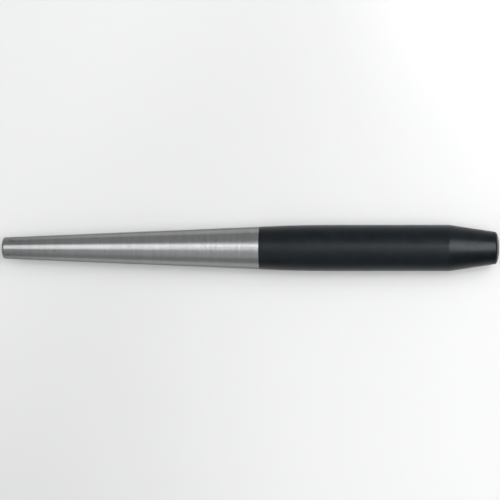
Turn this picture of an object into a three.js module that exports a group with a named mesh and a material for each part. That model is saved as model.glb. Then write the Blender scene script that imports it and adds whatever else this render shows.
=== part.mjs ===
// Line-up punch: a round, tapered steel drift that is driven into two bolt holes to bring them into line.
// Millimetres. The tool lies along +X with +Z up. Its tip's face is centred on the origin.
import * as THREE from 'three';

// Overall sizes, measured over the coat where there is one
const OVERALL_LENGTH = 200;
const SHANK_DIAMETER = 18.5;

// Ground taper of the bare steel
const TIP_DIAMETER = 8.5;
const TIP_EDGE_RADIUS = 1.2;
const TAPER_LENGTH = 120.5;
const TAPER_BLEND_RADIUS = 560;

// Struck head
const HEAD_LENGTH = 20;
const HEAD_END_DIAMETER = 12.5;
const HEAD_SHOULDER_RADIUS = 6;
const HEAD_EDGE_RADIUS = 1;
const CROWN_RADIUS = 11;
const STRUCK_FLAT_DIAMETER = 3;

// Black enamel coat
const COAT_START = 104;
const COAT_THICKNESS = 0.08;

// Fineness of the round surfaces
const SIDES = 32;
const ARC_STEPS = 3;
const BLEND_STEPS = 2;

// The flat sides lie on the true radius, so the corners between them stand out by this factor.
const CORNER_FACTOR = 1 / Math.cos(Math.PI / SIDES);
const HALF_SIDE_ANGLE = Math.PI / SIDES;
const QUARTER_TURN = Math.PI / 2;

// The side of a stretch of outline that faces the tool's axis.
function inwardNormal(direction) {
  return new THREE.Vector2(direction.y, -direction.x);
}

function directionBetween(start, end) {
  return end.clone().sub(start).normalize();
}

// Points of an arc that is followed clockwise, as the outline is from tip to head.
function arcPoints(centre, radius, startAngle, endAngle, steps = ARC_STEPS) {
  const arc = new THREE.EllipseCurve(centre.x, centre.y, radius, radius, startAngle, endAngle, true);
  return arc.getPoints(steps);
}

// Rounds the corner between two straight stretches with an arc that touches both.
function roundedCorner(before, corner, after, radius, steps = ARC_STEPS) {
  const arriving = directionBetween(before, corner);
  const leaving = directionBetween(corner, after);
  const run = radius * Math.tan(arriving.angleTo(leaving) / 2);
  const centre = corner.clone()
    .addScaledVector(arriving, -run)
    .addScaledVector(inwardNormal(arriving), radius);
  return arcPoints(centre, radius, arriving.angle() + QUARTER_TURN, leaving.angle() + QUARTER_TURN, steps);
}

// Ends the head's cone with a rounded edge, a crowned face and the flat in the middle of that face.
function struckEnd(shoulder, end) {
  const cone = directionBetween(shoulder, end);
  const inward = inwardNormal(cone);
  const flatRadius = STRUCK_FLAT_DIAMETER / 2;
  const crownCentre = new THREE.Vector2(end.x - CROWN_RADIUS, flatRadius);

  // The edge's centre is one edge radius inside the cone and inside the crown.
  const reach = CROWN_RADIUS - HEAD_EDGE_RADIUS;
  const offset = shoulder.clone().addScaledVector(inward, HEAD_EDGE_RADIUS).sub(crownCentre);
  const alongCone = offset.dot(cone);
  const distance = Math.sqrt(alongCone ** 2 - offset.lengthSq() + reach ** 2) - alongCone;
  const edgeCentre = shoulder.clone()
    .addScaledVector(cone, distance)
    .addScaledVector(inward, HEAD_EDGE_RADIUS);
  const crownAngle = directionBetween(crownCentre, edgeCentre).angle();

  return [
    ...arcPoints(edgeCentre, HEAD_EDGE_RADIUS, cone.angle() + QUARTER_TURN, crownAngle),
    ...arcPoints(crownCentre, CROWN_RADIUS, crownAngle, 0).slice(1),
    new THREE.Vector2(end.x, 0),
  ];
}

// Half outline of the tool from tip to head, x along the axis and y the radius.
// The growth is how far the outline stands out from the bare steel.
function toolOutline(growth) {
  const shankRadius = SHANK_DIAMETER / 2 - COAT_THICKNESS + growth;
  const headEnd = OVERALL_LENGTH - COAT_THICKNESS + growth;
  const headEndRadius = HEAD_END_DIAMETER / 2 - COAT_THICKNESS + growth;

  const tipCentre = new THREE.Vector2(0, 0);
  const tipCorner = new THREE.Vector2(0, TIP_DIAMETER / 2 + growth);
  const taperEnd = new THREE.Vector2(TAPER_LENGTH, shankRadius);
  const shoulder = new THREE.Vector2(headEnd - HEAD_LENGTH, shankRadius);
  const headCorner = new THREE.Vector2(headEnd, headEndRadius);

  return [
    tipCentre,
    ...roundedCorner(tipCentre, tipCorner, taperEnd, TIP_EDGE_RADIUS),
    ...roundedCorner(tipCorner, taperEnd, shoulder, TAPER_BLEND_RADIUS, BLEND_STEPS),
    ...roundedCorner(taperEnd, shoulder, headCorner, HEAD_SHOULDER_RADIUS, BLEND_STEPS),
    ...struckEnd(shoulder, headCorner),
  ];
}

// Parts an outline at a distance from the tip, with the point there in both halves.
function partOutline(points, along) {
  const next = points.findIndex((point) => point.x > along);
  const share = (along - points[next - 1].x) / (points[next].x - points[next - 1].x);
  const cut = points[next - 1].clone().lerp(points[next], share);
  return [[...points.slice(0, next), cut], [cut, ...points.slice(next)]];
}

// Turns a half outline about the tool's axis, with a flat side downwards.
function turned(name, outline, material) {
  const profile = outline.map((point) => new THREE.Vector2(point.y * CORNER_FACTOR, point.x));
  const mesh = new THREE.Mesh(new THREE.LatheGeometry(profile, SIDES, HALF_SIDE_ANGLE), material);
  mesh.name = name;
  return mesh;
}

const [bareTaper, coatedSteel] = partOutline(toolOutline(0), COAT_START);
const [, coatSurface] = partOutline(toolOutline(COAT_THICKNESS), COAT_START);

// One solid bar of tool steel: ground taper, shank and struck head
const steelPunch = turned(
  'steel_punch',
  [...bareTaper, ...coatedSteel.slice(1)],
  new THREE.MeshStandardMaterial({ color: 0xa9abac, roughness: 0.32, metalness: 1 }),
);

// Enamel over the end of the taper, the shank and the whole head
const enamelCoat = turned(
  'enamel_coat',
  [...coatedSteel.toReversed(), ...coatSurface],
  new THREE.MeshStandardMaterial({ color: 0x1f2224, roughness: 0.42, metalness: 0 }),
);

// The outlines are turned about +Y, so the whole tool is laid over onto +X.
const lineUpPunch = new THREE.Group();
lineUpPunch.rotation.z = -QUARTER_TURN;
lineUpPunch.add(steelPunch, enamelCoat);

export default lineUpPunch;
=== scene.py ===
"""Looks of a line-up punch: a ground steel taper with a black enamelled shank and struck head.

The tool lies along +X with the middle of its tip's face at the origin. All lengths are in metres.
"""

import logging
import math
from dataclasses import dataclass, field
from enum import Enum

import bpy
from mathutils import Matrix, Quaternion, Vector


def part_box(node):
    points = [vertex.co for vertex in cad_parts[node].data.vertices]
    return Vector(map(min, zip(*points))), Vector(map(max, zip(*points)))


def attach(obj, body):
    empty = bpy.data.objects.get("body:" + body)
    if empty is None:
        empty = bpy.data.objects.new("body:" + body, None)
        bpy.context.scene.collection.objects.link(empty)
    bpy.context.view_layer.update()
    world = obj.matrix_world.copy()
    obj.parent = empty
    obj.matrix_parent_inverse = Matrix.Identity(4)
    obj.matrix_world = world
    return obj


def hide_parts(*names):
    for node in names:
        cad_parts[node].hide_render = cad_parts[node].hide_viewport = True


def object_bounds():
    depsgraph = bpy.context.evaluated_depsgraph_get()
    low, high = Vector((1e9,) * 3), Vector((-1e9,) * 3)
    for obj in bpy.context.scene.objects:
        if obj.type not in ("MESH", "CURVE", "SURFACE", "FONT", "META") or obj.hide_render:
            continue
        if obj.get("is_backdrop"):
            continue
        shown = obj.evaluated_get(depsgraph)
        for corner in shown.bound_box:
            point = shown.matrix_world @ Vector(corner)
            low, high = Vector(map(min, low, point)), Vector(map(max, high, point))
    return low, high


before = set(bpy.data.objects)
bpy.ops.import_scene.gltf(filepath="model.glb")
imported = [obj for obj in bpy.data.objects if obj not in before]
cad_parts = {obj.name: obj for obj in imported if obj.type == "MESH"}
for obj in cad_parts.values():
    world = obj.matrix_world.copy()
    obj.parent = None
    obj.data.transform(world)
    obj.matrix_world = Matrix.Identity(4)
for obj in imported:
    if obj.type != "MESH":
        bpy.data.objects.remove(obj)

logging.basicConfig(level=logging.INFO, format="%(name)s: %(message)s")
log = logging.getLogger("line_up_punch")

Colour = tuple[float, float, float, float]
Tint = tuple[float, float, float]
Spacing = tuple[float, float, float]
Point = tuple[float, float, float]
Tree = bpy.types.NodeTree
Socket = bpy.types.NodeSocket

# Directions and angles
QUARTER_TURN = math.pi / 2
ORIGIN: Point = (0.0, 0.0, 0.0)
TOOL_AXIS: Point = (1.0, 0.0, 0.0)
LAMP_AXIS: Point = (0.0, 0.0, 1.0)
STRAIGHT_DOWN = Vector((0.0, 0.0, -1.0))

# Range that holds most of a noise's values
NOISE_LOW = 0.3
NOISE_HIGH = 0.7

# Ends of a share, and the scale of a noise whose spacing is set before it
NOTHING = 0.0
WHOLE = 1.0
UNIT_SCALE = 1.0

WHITE: Colour = (1.0, 1.0, 1.0, 1.0)
PLAIN_WHITE: Tint = (1.0, 1.0, 1.0)
COOL_WHITE: Tint = (0.98, 0.99, 1.0)


class Node(Enum):
    """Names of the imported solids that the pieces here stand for."""

    STEEL = "steel_punch"
    COAT = "enamel_coat"


class Slot(Enum):
    """Names of the record's finishes."""

    STEEL = "ground_steel"
    COAT = "black_enamel"


def add_node(tree: Tree, kind: str, **settings: object) -> bpy.types.Node:
    """Adds a shader node.

    Args:
        tree: The material's node tree.
        kind: The node's type, without its common prefix.
        settings: Properties of the node and their values.

    Returns:
        The new node.
    """
    node = tree.nodes.new("ShaderNode" + kind)
    for name, value in settings.items():
        setattr(node, name, value)
    return node


def surface_grain(tree: Tree, spacing: Spacing, detail: float) -> Socket:
    """Makes a noise that is fixed to the piece, with its own spacing along each axis.

    Args:
        tree: The material's node tree.
        spacing: Rough distance between marks along X, Y and Z.
        detail: How many finer layers the noise has.

    Returns:
        The noise's output, which mostly lies between NOISE_LOW and NOISE_HIGH.
    """
    place = add_node(tree, "TexCoord")
    stretch = add_node(tree, "Mapping", vector_type="POINT")
    stretch.inputs["Scale"].default_value = [1 / length for length in spacing]
    noise = add_node(tree, "TexNoise", noise_dimensions="3D")
    noise.inputs["Scale"].default_value = UNIT_SCALE
    noise.inputs["Detail"].default_value = detail
    tree.links.new(place.outputs["Object"], stretch.inputs["Vector"])
    tree.links.new(stretch.outputs["Vector"], noise.inputs["Vector"])
    return noise.outputs["Fac"]


def spread(tree: Tree, noise: Socket, low: float, high: float) -> Socket:
    """Spreads the middle of a noise over a range of values.

    Args:
        tree: The material's node tree.
        noise: The noise's output.
        low: The value at the noise's low end.
        high: The value at the noise's high end.

    Returns:
        The output that holds the spread value.
    """
    node = add_node(tree, "MapRange", clamp=True)
    node.inputs["From Min"].default_value = NOISE_LOW
    node.inputs["From Max"].default_value = NOISE_HIGH
    node.inputs["To Min"].default_value = low
    node.inputs["To Max"].default_value = high
    tree.links.new(noise, node.inputs["Value"])
    return node.outputs["Result"]


def colour_run(
    tree: Tree, share: Socket, low: Colour, high: Colour, start: float = NOISE_LOW, end: float = NOISE_HIGH
) -> Socket:
    """Runs from one colour to another with a noise or another share.

    Args:
        tree: The material's node tree.
        share: The output that holds the noise or the share.
        low: The colour up to the start.
        high: The colour from the end on.
        start: The share where the run starts.
        end: The share where the run ends.

    Returns:
        The colour output.
    """
    node = add_node(tree, "ValToRGB")
    first, last = node.color_ramp.elements
    first.position = start
    first.color = low
    last.position = end
    last.color = high
    tree.links.new(share, node.inputs["Fac"])
    return node.outputs["Color"]


def along_axis(tree: Tree, length: float) -> Socket:
    """Measures how far along the tool a point lies.

    Args:
        tree: The material's node tree.
        length: The distance from the tip at which the share is 1.

    Returns:
        The output that holds the share, 0 at the tip.
    """
    place = add_node(tree, "TexCoord")
    parts = add_node(tree, "SeparateXYZ")
    share = add_node(tree, "MapRange", clamp=True)
    share.inputs["From Max"].default_value = length
    tree.links.new(place.outputs["Object"], parts.inputs["Vector"])
    tree.links.new(parts.outputs["X"], share.inputs["Value"])
    return share.outputs["Result"]


def multiply(tree: Tree, one: Socket, other: Socket) -> Socket:
    """Multiplies two colours.

    Args:
        tree: The material's node tree.
        one: The output that holds one colour.
        other: The output that holds the other colour.

    Returns:
        The output that holds the product.
    """
    node = add_node(tree, "VectorMath", operation="MULTIPLY")
    for source, target in zip((one, other), node.inputs):
        tree.links.new(source, target)
    return node.outputs["Vector"]


def add_relief(tree: Tree, shader: bpy.types.Node, height: Socket, depth: float) -> None:
    """Gives a shader fine relief.

    Args:
        tree: The material's node tree.
        shader: The shader whose normal is set.
        height: The output that holds the relief's height, from 0 to 1.
        depth: How far the relief goes from 0 to 1.
    """
    bump = add_node(tree, "Bump")
    bump.inputs["Strength"].default_value = WHOLE
    bump.inputs["Distance"].default_value = depth
    tree.links.new(height, bump.inputs["Height"])
    tree.links.new(bump.outputs["Normal"], shader.inputs["Normal"])


def new_material(name: str) -> tuple[bpy.types.Material, Tree, bpy.types.Node]:
    """Makes a node material with one principled shader.

    Args:
        name: The material's name.

    Returns:
        The material, its node tree and its shader.
    """
    material = bpy.data.materials.new(name)
    material.use_nodes = True
    tree = material.node_tree
    return material, tree, tree.nodes["Principled BSDF"]


@dataclass(frozen=True)
class GroundSteel:
    """Bright tool steel, ground round and round on a grinder, with smudges at the tip and a colour that
    darkens towards it.
    """

    # Patches of lighter and darker steel
    dark_patch: Colour = (0.395, 0.404, 0.406, 1.0)
    light_patch: Colour = (0.411, 0.42, 0.422, 1.0)
    edge_tint: Colour = (0.4, 0.4, 0.4, 1.0)
    patch_spacing: Spacing = (0.009, 0.006, 0.006)
    patch_detail: float = 3.0

    # Rings and fine scratches from the grinder
    ring_shade: Colour = (0.91, 0.91, 0.91, 1.0)
    ring_spacing: Spacing = (0.0011, 0.012, 0.012)
    ring_detail: float = 2.0
    smoothest: float = 0.225
    roughest: float = 0.255
    anisotropy: float = 0.85
    grain_turn: float = 0.25
    scratch_spacing: Spacing = (0.00016, 0.009, 0.009)
    scratch_detail: float = 2.0
    scratch_depth: float = 0.0000005

    # Small dark specks
    speck: Colour = (0.8, 0.8, 0.8, 1.0)
    speck_spacing: Spacing = (0.0016, 0.0016, 0.0016)
    speck_detail: float = 1.0
    speck_start: float = 0.7
    speck_end: float = 0.76

    # Smudges at the tip, and a colour that darkens towards it
    darker_tip: Colour = (0.84, 0.84, 0.84, 1.0)
    darkening_length: float = 0.03
    smudge: Colour = (0.7, 0.7, 0.7, 1.0)
    smudge_spacing: Spacing = (0.0024, 0.002, 0.002)
    smudge_detail: float = 2.0
    smudge_reach: float = 0.02
    smudge_fade: float = 0.4
    smudge_start: float = 0.36
    smudge_end: float = 0.47

    def material(self) -> bpy.types.Material:
        """Builds the node material.

        Returns:
            The finished material.
        """
        material, tree, shader = new_material("ground_steel")
        patches = surface_grain(tree, self.patch_spacing, self.patch_detail)
        rings = surface_grain(tree, self.ring_spacing, self.ring_detail)
        scratches = surface_grain(tree, self.scratch_spacing, self.scratch_detail)
        specks = surface_grain(tree, self.speck_spacing, self.speck_detail)
        shader.inputs["Metallic"].default_value = WHOLE
        shader.inputs["Specular Tint"].default_value = self.edge_tint
        shader.inputs["Anisotropic"].default_value = self.anisotropy
        shader.inputs["Anisotropic Rotation"].default_value = self.grain_turn
        round_axis = add_node(tree, "Tangent", direction_type="RADIAL", axis="X")
        tree.links.new(round_axis.outputs["Tangent"], shader.inputs["Tangent"])
        colour = colour_run(tree, patches, self.dark_patch, self.light_patch)
        stain = colour_run(tree, specks, WHITE, self.speck, self.speck_start, self.speck_end)
        # The steel's colour darkens evenly over the last stretch towards the tip
        tip_darkening = colour_run(tree, along_axis(tree, self.darkening_length), self.darker_tip, WHITE, NOTHING, WHOLE)
        streaks = colour_run(tree, rings, self.ring_shade, WHITE)
        for shade in (stain, tip_darkening, streaks, self.smudges(tree)):
            colour = multiply(tree, colour, shade)
        tree.links.new(colour, shader.inputs["Base Color"])
        tree.links.new(spread(tree, rings, self.smoothest, self.roughest), shader.inputs["Roughness"])
        add_relief(tree, shader, scratches, self.scratch_depth)
        return material

    def smudges(self, tree: Tree) -> Socket:
        """Makes dark smudges that thin out away from the tip.

        Args:
            tree: The material's node tree.

        Returns:
            The colour output, white where there is no smudge.
        """
        noise = surface_grain(tree, self.smudge_spacing, self.smudge_detail)
        thinned = add_node(tree, "Math", operation="MULTIPLY_ADD")
        distance, fade, base = thinned.inputs
        fade.default_value = self.smudge_fade
        tree.links.new(along_axis(tree, self.smudge_reach), distance)
        tree.links.new(noise, base)
        share = thinned.outputs["Value"]
        return colour_run(tree, share, self.smudge, WHITE, self.smudge_start, self.smudge_end)


@dataclass(frozen=True)
class BlackEnamel:
    """Baked black enamel with a soft, slightly blue sheen and a faint peel."""

    thin_spot: Colour = (0.006, 0.0084, 0.0104, 1.0)
    thick_spot: Colour = (0.0036, 0.0053, 0.0068, 1.0)
    sheen_tint: Colour = (0.87, 0.94, 1.0, 1.0)
    smoothest: float = 0.3
    roughest: float = 0.39
    shine: float = 0.27
    patch_spacing: Spacing = (0.004, 0.004, 0.004)
    patch_detail: float = 3.0
    peel_spacing: Spacing = (0.0014, 0.0014, 0.0014)
    peel_detail: float = 1.0
    peel_depth: float = 0.000004

    def material(self) -> bpy.types.Material:
        """Builds the node material.

        Returns:
            The finished material.
        """
        material, tree, shader = new_material("black_enamel")
        patches = surface_grain(tree, self.patch_spacing, self.patch_detail)
        peel = surface_grain(tree, self.peel_spacing, self.peel_detail)
        shader.inputs["Specular IOR Level"].default_value = self.shine
        shader.inputs["Specular Tint"].default_value = self.sheen_tint
        colour = colour_run(tree, patches, self.thick_spot, self.thin_spot)
        tree.links.new(colour, shader.inputs["Base Color"])
        tree.links.new(spread(tree, patches, self.smoothest, self.roughest), shader.inputs["Roughness"])
        add_relief(tree, shader, peel, self.peel_depth)
        return material


@dataclass(frozen=True)
class WhiteBoard:
    """Smooth white board with a satin lacquer, which mirrors the room where it is seen at a low angle."""

    colour: Colour = (0.71, 0.71, 0.71, 1.0)
    roughness: float = 0.2
    ior: float = 1.7
    lacquer: float = 0.6
    lacquer_ior: float = 1.65
    lacquer_roughness: float = 0.2

    def material(self) -> bpy.types.Material:
        """Builds the material.

        Returns:
            The finished material.
        """
        material, _, shader = new_material("white_board")
        shader.inputs["Base Color"].default_value = self.colour
        shader.inputs["Roughness"].default_value = self.roughness
        shader.inputs["IOR"].default_value = self.ior
        shader.inputs["Coat Weight"].default_value = self.lacquer
        shader.inputs["Coat IOR"].default_value = self.lacquer_ior
        shader.inputs["Coat Roughness"].default_value = self.lacquer_roughness
        return material


def arc(centre: Vector, radius: float, start: float, end: float, steps: int) -> list[Vector]:
    """Works out the points of an arc in the XZ plane.

    Args:
        centre: The arc's centre.
        radius: The arc's radius.
        start: The angle of the first point, from +X towards +Z.
        end: The angle of the last point.
        steps: How many chords the arc has.

    Returns:
        The points in order.
    """
    angles = (start + (end - start) * step / steps for step in range(steps + 1))
    return [centre + radius * Vector((math.cos(angle), 0, math.sin(angle))) for angle in angles]


def heading(start: Vector, end: Vector) -> float:
    """Gives the angle of a line in the XZ plane, from +X towards +Z."""
    return math.atan2(end.z - start.z, end.x - start.x)


def directions(angle: float) -> tuple[Vector, Vector]:
    """Gives the two directions of a stretch of outline that is followed from tip to head.

    Args:
        angle: The stretch's angle in the XZ plane, from +X towards +Z.

    Returns:
        The direction along the stretch and the direction into the tool.
    """
    along = Vector((math.cos(angle), 0, math.sin(angle)))
    inward = Vector((math.sin(angle), 0, -math.cos(angle)))
    return along, inward


def rounded_corner(
    before: Vector, corner: Vector, after: Vector, radius: float, steps: int
) -> list[Vector]:
    """Rounds a corner of an outline that is followed from tip to head.

    Args:
        before: The corner before this one.
        corner: The corner to round.
        after: The corner after this one.
        radius: The radius of the rounding.
        steps: How many chords the rounding has.

    Returns:
        The points of the rounding in order.
    """
    arriving = heading(before, corner)
    leaving = heading(corner, after)
    run = radius * math.tan((arriving - leaving) / 2)
    along, inward = directions(arriving)
    centre = corner - run * along + radius * inward
    return arc(centre, radius, arriving + QUARTER_TURN, leaving + QUARTER_TURN, steps)


@dataclass
class ToolShape:
    """The punch's half outline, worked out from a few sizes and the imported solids."""

    tip_radius: float = 0.00425
    tip_edge: float = 0.0012
    taper_length: float = 0.1205
    taper_blend: float = 0.56
    head_length: float = 0.02
    head_end_radius: float = 0.00625
    head_shoulder: float = 0.006
    head_edge: float = 0.001
    crown: float = 0.011
    struck_flat: float = 0.0015
    edge_steps: int = 10
    blend_steps: int = 24

    # How far the round pieces stay inside the solids' box
    inset: float = 0.000001

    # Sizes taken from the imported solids
    length: float = field(init=False)
    shank_radius: float = field(init=False)
    coat_start: float = field(init=False)
    coat_thickness: float = field(init=False)

    def __post_init__(self) -> None:
        """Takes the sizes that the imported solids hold."""
        _, steel_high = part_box(Node.STEEL.value)
        coat_low, coat_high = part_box(Node.COAT.value)
        self.length = coat_high.x
        self.shank_radius = coat_high.z - self.inset
        self.coat_start = coat_low.x
        self.coat_thickness = coat_high.x - steel_high.x

    def struck_end(self, shoulder: Vector, corner: Vector) -> list[Vector]:
        """Works out the head's rounded edge, its crowned face and the flat in the middle.

        Args:
            shoulder: The corner where the head's cone starts.
            corner: The corner that the cone would have at the end.

        Returns:
            The points in order, ending on the axis.
        """
        slope = heading(shoulder, corner)
        along, inward = directions(slope)
        crown_centre = Vector((corner.x - self.crown, 0, self.struck_flat))
        reach = self.crown - self.head_edge
        offset = shoulder + self.head_edge * inward - crown_centre
        run = offset.dot(along)
        distance = math.sqrt(run**2 - offset.length_squared + reach**2) - run
        edge_centre = shoulder + distance * along + self.head_edge * inward
        turn = heading(crown_centre, edge_centre)
        edge = arc(edge_centre, self.head_edge, slope + QUARTER_TURN, turn, self.edge_steps)
        face = arc(crown_centre, self.crown, turn, 0.0, self.edge_steps)
        return edge + face[1:] + [Vector((corner.x, 0, 0))]

    def outline(self, growth: float) -> list[Vector]:
        """Works out the half outline from tip to head.

        Args:
            growth: How far the outline stands out from the bare steel.

        Returns:
            The points in order, from axis to axis.
        """
        shank = self.shank_radius - self.coat_thickness + growth
        end = self.length - self.coat_thickness + growth
        tip = Vector((0, 0, 0))
        tip_corner = Vector((0, 0, self.tip_radius + growth))
        taper_end = Vector((self.taper_length, 0, shank))
        shoulder = Vector((end - self.head_length, 0, shank))
        head_corner = Vector((end, 0, self.head_end_radius - self.coat_thickness + growth))
        return [
            tip,
            *rounded_corner(tip, tip_corner, taper_end, self.tip_edge, self.edge_steps),
            *rounded_corner(tip_corner, taper_end, shoulder, self.taper_blend, self.blend_steps),
            *rounded_corner(taper_end, shoulder, head_corner, self.head_shoulder, self.edge_steps),
            *self.struck_end(shoulder, head_corner),
        ]

    def parted(self, growth: float, along: float) -> tuple[list[Vector], list[Vector]]:
        """Parts the outline at a distance from the tip.

        Args:
            growth: How far the outline stands out from the bare steel.
            along: The distance.

        Returns:
            The points towards the tip and the points towards the head, both with the point between.
        """
        points = self.outline(growth)
        after = next(index for index, point in enumerate(points) if point.x > along)
        before = points[after - 1]
        share = (along - before.x) / (points[after].x - before.x)
        cut = before.lerp(points[after], share)
        return points[:after] + [cut], [cut] + points[after:]


@dataclass
class TurnedPiece:
    """A piece that is turned about the tool's axis from a half outline."""

    shape: ToolShape
    name: str
    node: Node
    slot: Slot
    sides: int = 192
    seed_size: float = 0.001
    weld: float = 0.000001
    smooth_angle: float = math.radians(35)

    def outline(self) -> list[Vector]:
        """Works out the piece's own half outline."""
        raise NotImplementedError

    def build(self) -> bpy.types.Object:
        """Models the piece by drawing its half outline and spinning it.

        Returns:
            The finished mesh object, at the origin.
        """
        points = self.outline()
        bpy.ops.object.select_all(action="DESELECT")
        bpy.ops.mesh.primitive_plane_add(size=self.seed_size, location=points[0])
        piece = bpy.context.object
        piece.name = self.name
        piece.data.name = self.name
        bpy.ops.object.transform_apply(location=True, rotation=True, scale=True)
        bpy.ops.object.mode_set(mode="EDIT")
        bpy.ops.mesh.select_mode(type="VERT")
        bpy.ops.mesh.merge(type="CENTER")
        for start, end in zip(points, points[1:]):
            bpy.ops.mesh.extrude_vertices_move(TRANSFORM_OT_translate={"value": end - start})
        bpy.ops.mesh.select_all(action="SELECT")
        bpy.ops.mesh.spin(steps=self.sides, angle=math.tau, center=ORIGIN, axis=TOOL_AXIS)
        bpy.ops.mesh.select_all(action="SELECT")
        bpy.ops.mesh.remove_doubles(threshold=self.weld)
        bpy.ops.mesh.normals_make_consistent(inside=False)
        bpy.ops.object.mode_set(mode="OBJECT")
        bpy.ops.object.shade_smooth_by_angle(angle=self.smooth_angle)
        return piece

    def dress(self, piece: bpy.types.Object, material: bpy.types.Material) -> None:
        """Gives the piece its finish and its place in the frame.

        Args:
            piece: The finished mesh object.
            material: The finish.
        """
        piece.data.materials.append(material)
        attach(piece, "root")
        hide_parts(self.node.value)


@dataclass
class SteelPunch(TurnedPiece):
    """The solid steel bar: ground taper, shank and struck head."""

    name: str = "ground_punch"
    node: Node = Node.STEEL
    slot: Slot = Slot.STEEL

    def outline(self) -> list[Vector]:
        """Works out the bare steel's half outline."""
        bare, coated = self.shape.parted(0.0, self.shape.coat_start)
        return bare + coated[1:]


@dataclass
class EnamelCoat(TurnedPiece):
    """The black coat over the end of the taper, the shank and the head."""

    name: str = "black_coat"
    node: Node = Node.COAT
    slot: Slot = Slot.COAT
    edge_thickness: float = 0.00001
    feather_length: float = 0.002

    def outline(self) -> list[Vector]:
        """Works out the coat's half outline.

        Returns:
            The points in order, along the inside from head to edge and back along the outside.
        """
        start = self.shape.coat_start
        _, inside = self.shape.parted(0.0, start)
        _, outside = self.shape.parted(self.shape.coat_thickness, start + self.feather_length)
        edge = inside[0] + Vector((0, 0, self.edge_thickness))
        return inside[::-1] + [edge] + outside


@dataclass(frozen=True)
class Softbox:
    """One soft rectangular lamp, which faces straight down or towards a target."""

    name: str
    place: Point
    width: float
    depth: float
    brightness: float
    tint: Tint = PLAIN_WHITE
    turn: float = 0.0
    target: Point | None = None

    def hang(self) -> None:
        """Adds the lamp, at a power that gives its face the same brightness at any size."""
        bpy.ops.object.light_add(type="AREA", location=self.place)
        lamp = bpy.context.object
        lamp.name = self.name
        lamp.visible_camera = False
        towards = STRAIGHT_DOWN
        if self.target is not None:
            towards = Vector(self.target) - Vector(self.place)
        facing = towards.to_track_quat("-Z", "Y")
        lamp.rotation_euler = (facing @ Quaternion(LAMP_AXIS, self.turn)).to_euler()
        lamp.data.shape = "RECTANGLE"
        lamp.data.size = self.width
        lamp.data.size_y = self.depth
        lamp.data.color = self.tint
        lamp.data.energy = self.brightness * math.pi * self.width * self.depth
        log.info("%s: %.2f by %.2f m", self.name, self.width, self.depth)


@dataclass(frozen=True)
class GreyRoom:
    """The grey room round the board, paler overhead and dark at the front corner beyond the head."""

    level: float = 0.378
    pale_side: Point = (0.2, -0.25, 0.947)
    pale_gain: float = 0.18
    pale_start: float = 0.4
    pale_end: float = 1.0
    dark_side: Point = (0.85, -0.5, 0.1)
    dark_share: float = 0.1
    dark_start: float = 0.5
    dark_end: float = 0.68

    def towards(self, tree: Tree, side: Point, start: float, end: float) -> bpy.types.Node:
        """Makes a value that changes smoothly towards one side of the room.

        Args:
            tree: The world's node tree.
            side: The direction of that side.
            start: How far a direction points that way where the change starts.
            end: How far it points that way where the change ends.

        Returns:
            The node that maps the change onto its two values.
        """
        place = add_node(tree, "TexCoord")
        share = add_node(tree, "VectorMath", operation="DOT_PRODUCT")
        direction, goal, *_ = share.inputs
        goal.default_value = side
        change = add_node(tree, "MapRange", interpolation_type="SMOOTHSTEP")
        change.inputs["From Min"].default_value = start
        change.inputs["From Max"].default_value = end
        tree.links.new(place.outputs["Generated"], direction)
        tree.links.new(share.outputs["Value"], change.inputs["Value"])
        return change

    def surround(self) -> None:
        """Sets the room round the scene."""
        world = bpy.data.worlds.new("grey_room")
        world.use_nodes = True
        tree = world.node_tree
        pale = self.towards(tree, self.pale_side, self.pale_start, self.pale_end)
        pale.inputs["To Min"].default_value = self.level
        pale.inputs["To Max"].default_value = self.level + self.pale_gain
        dark = self.towards(tree, self.dark_side, self.dark_start, self.dark_end)
        dark.inputs["To Min"].default_value = WHOLE
        dark.inputs["To Max"].default_value = self.dark_share
        strength = add_node(tree, "Math", operation="MULTIPLY")
        for source, target in zip((pale, dark), strength.inputs):
            tree.links.new(source.outputs["Result"], target)
        background = tree.nodes["Background"]
        background.inputs["Color"].default_value = WHITE
        tree.links.new(strength.outputs["Value"], background.inputs["Strength"])
        bpy.context.scene.world = world


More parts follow.
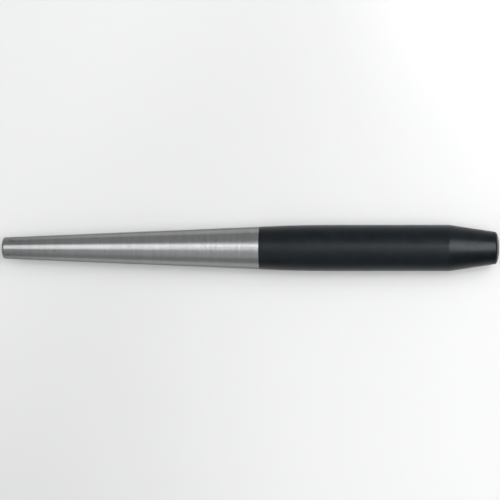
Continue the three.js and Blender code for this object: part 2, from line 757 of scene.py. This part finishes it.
@dataclass
class Studio:
    """The white board, the soft lamps and the camera that looks down on the tool."""

    floor_level: float
    middle: float
    board: WhiteBoard = WhiteBoard()
    board_size: float = 12.0
    room: GreyRoom = GreyRoom()

    # Camera
    camera_distance: float = 1.0
    camera_lead: float = 0.064
    frame_width: float = 0.20114
    sensor_width: float = 36.0
    aim_ahead: float = 0.0002
    aim_down: float = 0.0008

    # Wide lamp beyond the tip, for the band of light along the taper
    taper_light: Softbox = Softbox(
        name="taper_softbox",
        place=(-0.625, 0.366, 1.2),
        width=1.2,
        depth=0.81,
        brightness=1.37,
        tint=COOL_WHITE,
        turn=math.radians(-30),
    )

    # Wide lamp and narrow strip beyond the head, for the soft highlight along the shank
    shank_light: Softbox = Softbox(
        name="shank_softbox",
        place=(0.58, -0.1, 1.26),
        width=1.2,
        depth=0.54,
        brightness=0.95,
        tint=COOL_WHITE,
        turn=math.radians(15),
    )
    coat_light: Softbox = Softbox(
        name="coat_softbox",
        place=(0.42, 0.27, 1.34),
        width=0.42,
        depth=0.12,
        brightness=13.0,
        tint=COOL_WHITE,
    )

    # Low, dim lamp in front, for the lower side of the taper
    front_light: Softbox = Softbox(
        name="front_softbox",
        place=(0.175, -0.25, 0.25),
        width=0.35,
        depth=0.32,
        brightness=0.15,
    )

    # Lower lamp beyond the head, for the highlight on its cone
    head_light: Softbox = Softbox(
        name="head_softbox",
        place=(0.455, 0.14, 0.55),
        width=0.25,
        depth=0.6,
        brightness=6.2,
    )

    # Lamps that face the two ends
    tip_end_light: Softbox = Softbox(
        name="tip_end_softbox",
        place=(-1.2, 0.0, 1.1),
        target=(0.1, 0.0, 0.0),
        width=0.8,
        depth=1.0,
        brightness=0.6,
    )
    head_end_light: Softbox = Softbox(
        name="head_end_softbox",
        place=(1.5, 0.0, 1.1),
        target=(0.1, 0.0, 0.0),
        width=0.8,
        depth=1.0,
        brightness=0.5,
    )

    def lay_board(self) -> None:
        """Lays the board that the tool lies on."""
        bpy.ops.object.select_all(action="DESELECT")
        bpy.ops.mesh.primitive_plane_add(size=self.board_size, location=(self.middle, 0, self.floor_level))
        floor = bpy.context.object
        floor.name = "white_board_floor"
        floor.data.materials.append(self.board.material())
        floor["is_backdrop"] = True

    def light(self) -> None:
        """Lights the tool with soft lamps in a grey room."""
        self.room.surround()
        for lamp in (
            self.taper_light,
            self.shank_light,
            self.coat_light,
            self.front_light,
            self.head_light,
            self.tip_end_light,
            self.head_end_light,
        ):
            lamp.hang()

    def place_camera(self) -> None:
        """Sets the camera above the tool, a little towards the head."""
        aim = Vector((self.middle + self.aim_ahead, -self.aim_down, 0.0))
        height = math.sqrt(self.camera_distance**2 - self.camera_lead**2)
        place = aim + Vector((self.camera_lead, 0.0, height))
        bpy.ops.object.camera_add(location=place)
        camera = bpy.context.object
        camera.name = "photograph_camera"
        camera.rotation_euler = (0.0, math.atan2(self.camera_lead, height), 0.0)
        camera.data.sensor_width = self.sensor_width
        camera.data.lens = self.sensor_width * self.camera_distance / self.frame_width
        bpy.context.scene.camera = camera


def main() -> None:
    """Builds the tool piece by piece, then the studio round it."""
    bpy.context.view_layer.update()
    shape = ToolShape()
    for turned, finish in ((SteelPunch(shape), GroundSteel()), (EnamelCoat(shape), BlackEnamel())):
        piece = turned.build()
        turned.dress(piece, finish.material())
        log.info("%s: %d faces", piece.name, len(piece.data.polygons))
    studio = Studio(floor_level=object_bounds()[0].z, middle=shape.length / 2)
    studio.lay_board()
    studio.light()
    studio.place_camera()
    bpy.context.scene.view_settings.view_transform = "Standard"


if __name__ == "__main__":
    main()
